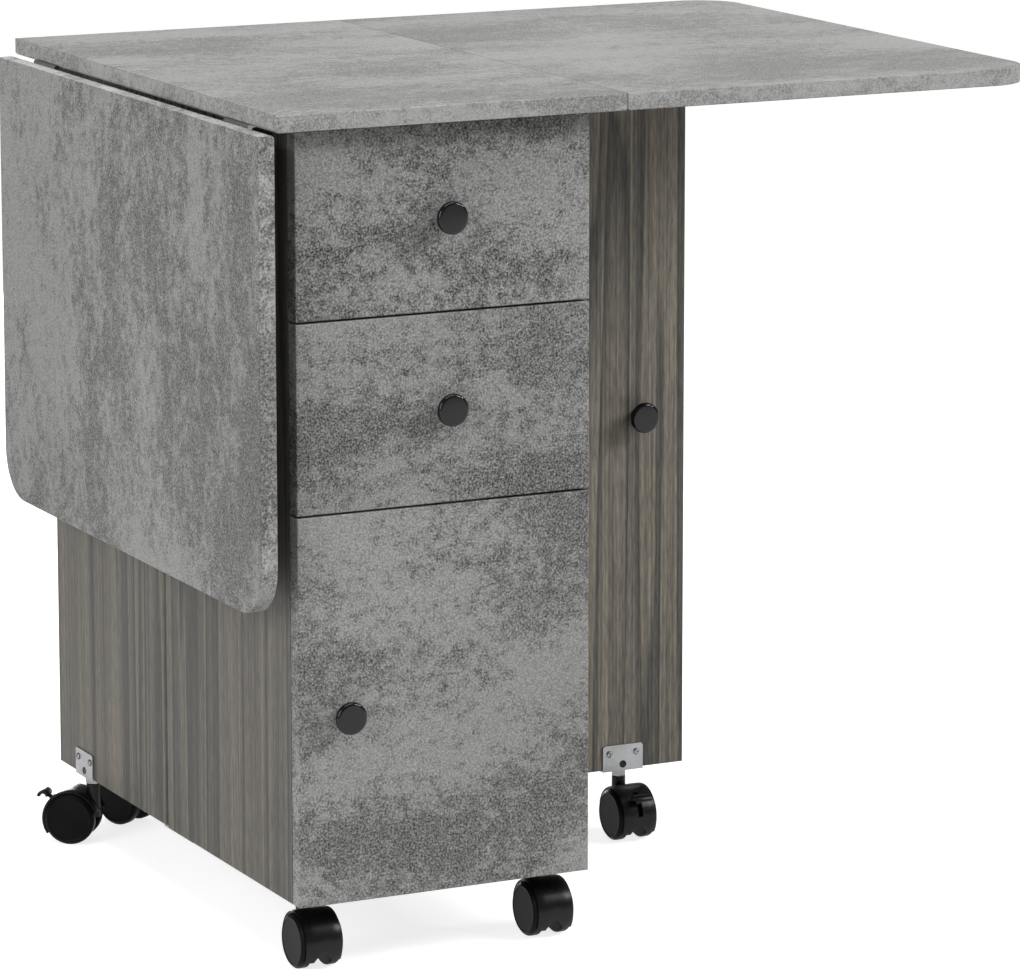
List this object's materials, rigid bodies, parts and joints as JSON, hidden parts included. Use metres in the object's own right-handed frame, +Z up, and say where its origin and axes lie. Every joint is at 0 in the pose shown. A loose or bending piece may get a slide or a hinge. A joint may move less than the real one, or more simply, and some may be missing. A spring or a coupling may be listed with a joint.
{
  "type": "folding dining table",
  "caption": "Folding dining table on casters: narrow cabinet with drawers, a cupboard and rear shelves, a drop leaf on each side and swinging gate legs that carry the leaves",
  "frame": {"origin": "On the floor, under the middle of the cabinet's width and of the top's depth", "axes": "X to the right seen from the drawer side, Y from the drawers to the back, Z up"},
  "size_m": [0.7554, 0.6, 0.75],
  "materials": {
    "concrete_laminate": "matt melamine with a clouded concrete print",
    "wood_laminate": "matt melamine with an upright grey-brown grain print",
    "drawer_board": "plain light grey foil",
    "zinc_steel": "bright zinc plating",
    "black_knob": "satin black",
    "black_plastic": "semi-gloss black nylon",
    "nylon": "plain white nylon"
  },
  "bodies": {
    "cabinet": {"fixed_top": "concrete_laminate", "front_side_left": "wood_laminate", "front_side_right": "wood_laminate", "mid_partition": "wood_laminate", "front_floor": "wood_laminate", "drawer_shelf": "wood_laminate", "rear_side_left": "wood_laminate", "rear_side_right": "wood_laminate", "rear_floor": "wood_laminate", "rear_shelves": "wood_laminate", "drawer_rails": "zinc_steel", "door_hinge_arms": "zinc_steel", "leaf_hinge_plates": "zinc_steel", "gate_pivot_plates": "zinc_steel", "caster_stems": "zinc_steel"},
    "leaf_left": {"leaf_left_board": "concrete_laminate", "leaf_left_hinge_flaps": "zinc_steel"},
    "leaf_right": {"leaf_right_board": "concrete_laminate", "leaf_right_hinge_flaps": "zinc_steel"},
    "door": {"door_panel": "concrete_laminate", "door_knob": "black_knob", "door_hinge_cups": "zinc_steel"},
    "gate_left": {"gate_left_panel": "wood_laminate", "gate_left_knob": "black_knob", "gate_left_bracket": "zinc_steel", "gate_left_pivot_pins": "zinc_steel", "gate_left_glide": "nylon"},
    "gate_right": {"gate_right_panel": "wood_laminate", "gate_right_knob": "black_knob", "gate_right_bracket": "zinc_steel", "gate_right_pivot_pins": "zinc_steel", "gate_right_glide": "nylon"},
    "upper_drawer": {"upper_drawer_front": "concrete_laminate", "upper_drawer_sides": "drawer_board", "upper_drawer_back": "drawer_board", "upper_drawer_bottom": "drawer_board", "upper_drawer_runners": "zinc_steel", "upper_drawer_knob": "black_knob"},
    "lower_drawer": {"lower_drawer_front": "concrete_laminate", "lower_drawer_sides": "drawer_board", "lower_drawer_back": "drawer_board", "lower_drawer_bottom": "drawer_board", "lower_drawer_runners": "zinc_steel", "lower_drawer_knob": "black_knob"},
    "caster_front_left_swivel": {"caster_front_left_hood": "black_plastic"},
    "caster_front_left_roller": {"caster_front_left_wheels": "black_plastic"},
    "caster_front_right_swivel": {"caster_front_right_hood": "black_plastic"},
    "caster_front_right_roller": {"caster_front_right_wheels": "black_plastic"},
    "caster_rear_left_swivel": {"caster_rear_left_hood": "black_plastic"},
    "caster_rear_left_roller": {"caster_rear_left_wheels": "black_plastic"},
    "caster_rear_right_swivel": {"caster_rear_right_hood": "black_plastic"},
    "caster_rear_right_roller": {"caster_rear_right_wheels": "black_plastic"},
    "caster_gate_left_swivel": {"caster_gate_left_hood": "black_plastic"},
    "caster_gate_left_roller": {"caster_gate_left_wheels": "black_plastic"},
    "caster_gate_left_lever": {"caster_gate_left_brake": "black_plastic"},
    "caster_gate_right_swivel": {"caster_gate_right_hood": "black_plastic"},
    "caster_gate_right_roller": {"caster_gate_right_wheels": "black_plastic"},
    "caster_gate_right_lever": {"caster_gate_right_brake": "black_plastic"}
  },
  "joints": [
    {"name": "left_leaf_fold", "type": "hinge", "parent": "cabinet", "child": "leaf_left", "pos_m": [-0.1639, 0, 0.7338], "axis": [0, 1, 0], "range_deg": [0, 90]},
    {"name": "right_leaf_fold", "type": "hinge", "parent": "cabinet", "child": "leaf_right", "pos_m": [0.1639, 0, 0.7338], "axis": [0, -1, 0], "range_deg": [0, 2]},
    {"name": "left_gate_swing", "type": "hinge", "parent": "cabinet", "child": "gate_left", "pos_m": [-0.1305, 0.0225, 0.4], "axis": [0, 0, 1], "range_deg": [0, 1.5]},
    {"name": "right_gate_swing", "type": "hinge", "parent": "cabinet", "child": "gate_right", "pos_m": [0.1305, 0.0225, 0.4], "axis": [0, 0, -1], "range_deg": [-90, 0]},
    {"name": "upper_drawer_slide", "type": "slide", "parent": "cabinet", "child": "upper_drawer", "axis": [0, -1, 0], "range_m": [0, 0.18]},
    {"name": "lower_drawer_slide", "type": "slide", "parent": "cabinet", "child": "lower_drawer", "axis": [0, -1, 0], "range_m": [0, 0.18]},
    {"name": "door_swing", "type": "hinge", "parent": "cabinet", "child": "door", "pos_m": [0.138, -0.264, 0.233], "axis": [0, 0, 1], "range_deg": [0, 100]},
    {"name": "front_left_caster_swivel", "type": "hinge", "parent": "cabinet", "child": "caster_front_left_swivel", "pos_m": [-0.1113, -0.2244, 0.045], "axis": [0, 0, 1], "continuous": true},
    {"name": "front_left_caster_roll", "type": "hinge", "parent": "caster_front_left_swivel", "child": "caster_front_left_roller", "pos_m": [-0.1113, -0.2437, 0.024], "axis": [1, 0, 0], "continuous": true},
    {"name": "front_right_caster_swivel", "type": "hinge", "parent": "cabinet", "child": "caster_front_right_swivel", "pos_m": [0.1113, -0.2244, 0.045], "axis": [0, 0, 1], "continuous": true},
    {"name": "front_right_caster_roll", "type": "hinge", "parent": "caster_front_right_swivel", "child": "caster_front_right_roller", "pos_m": [0.1113, -0.2437, 0.024], "axis": [1, 0, 0], "continuous": true},
    {"name": "rear_left_caster_swivel", "type": "hinge", "parent": "cabinet", "child": "caster_rear_left_swivel", "pos_m": [-0.066, 0.25, 0.045], "axis": [0, 0, 1], "continuous": true},
    {"name": "rear_left_caster_roll", "type": "hinge", "parent": "caster_rear_left_swivel", "child": "caster_rear_left_roller", "pos_m": [-0.07506, 0.26704, 0.024], "axis": [-0.8829, -0.4695, 0], "continuous": true},
    {"name": "rear_right_caster_swivel", "type": "hinge", "parent": "cabinet", "child": "caster_rear_right_swivel", "pos_m": [0.066, 0.25, 0.045], "axis": [0, 0, 1], "continuous": true},
    {"name": "rear_right_caster_roll", "type": "hinge", "parent": "caster_rear_right_swivel", "child": "caster_rear_right_roller", "pos_m": [0.07506, 0.26704, 0.024], "axis": [-0.8829, 0.4695, 0], "continuous": true},
    {"name": "gate_left_caster_swivel", "type": "hinge", "parent": "gate_left", "child": "caster_gate_left_swivel", "pos_m": [-0.1305, 0.2155, 0.045], "axis": [0, 0, 1], "continuous": true},
    {"name": "gate_left_caster_roll", "type": "hinge", "parent": "caster_gate_left_swivel", "child": "caster_gate_left_roller", "pos_m": [-0.14611, 0.22684, 0.024], "axis": [-0.5878, -0.809, 0], "continuous": true},
    {"name": "gate_left_caster_brake", "type": "hinge", "parent": "caster_gate_left_swivel", "child": "caster_gate_left_lever", "pos_m": [-0.16141, 0.23796, 0.03878], "axis": [-0.5878, -0.809, 0], "range_deg": [0, 15]},
    {"name": "gate_right_caster_swivel", "type": "hinge", "parent": "gate_right", "child": "caster_gate_right_swivel", "pos_m": [0.3235, 0.0225, 0.045], "axis": [0, 0, 1], "continuous": true},
    {"name": "gate_right_caster_roll", "type": "hinge", "parent": "caster_gate_right_swivel", "child": "caster_gate_right_roller", "pos_m": [0.3235, 0.0032, 0.024], "axis": [1, 0, 0], "continuous": true},
    {"name": "gate_right_caster_brake", "type": "hinge", "parent": "caster_gate_right_swivel", "child": "caster_gate_right_lever", "pos_m": [0.3235, -0.01571, 0.03878], "axis": [1, 0, 0], "range_deg": [0, 15]}
  ]
}
